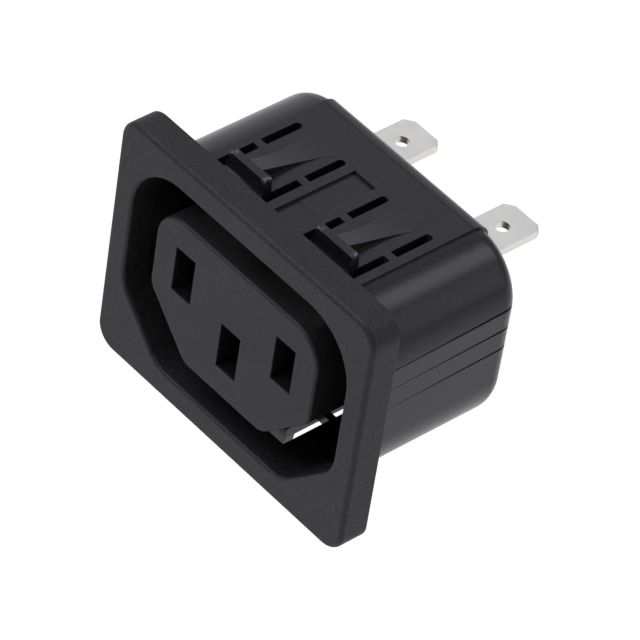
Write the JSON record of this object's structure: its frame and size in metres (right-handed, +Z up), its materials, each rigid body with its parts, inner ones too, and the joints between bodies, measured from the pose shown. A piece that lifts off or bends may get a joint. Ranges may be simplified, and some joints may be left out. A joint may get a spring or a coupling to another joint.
{
  "type": "panel power socket",
  "caption": "Female mains socket that clips into a panel cut-out: a flange, a deep plug cavity around a slotted core, sprung latches, and flat push-on tabs at the rear.",
  "frame": {"origin": "middle of the flange's rear face, which lies on the front of the panel", "axes": "+X to the right seen from the front, +Y to the rear through the panel, +Z up with the line and neutral slots above the earth slot"},
  "size_m": [0.0348, 0.029, 0.0276],
  "materials": {
    "moulding": "matte",
    "core_moulding": "matte",
    "contact_metal": "satin"
  },
  "bodies": {
    "root": {"housing": "moulding", "contact_core": "core_moulding", "line_contact": "contact_metal", "neutral_contact": "contact_metal", "earth_contact": "contact_metal"}
  },
  "joints": []
}
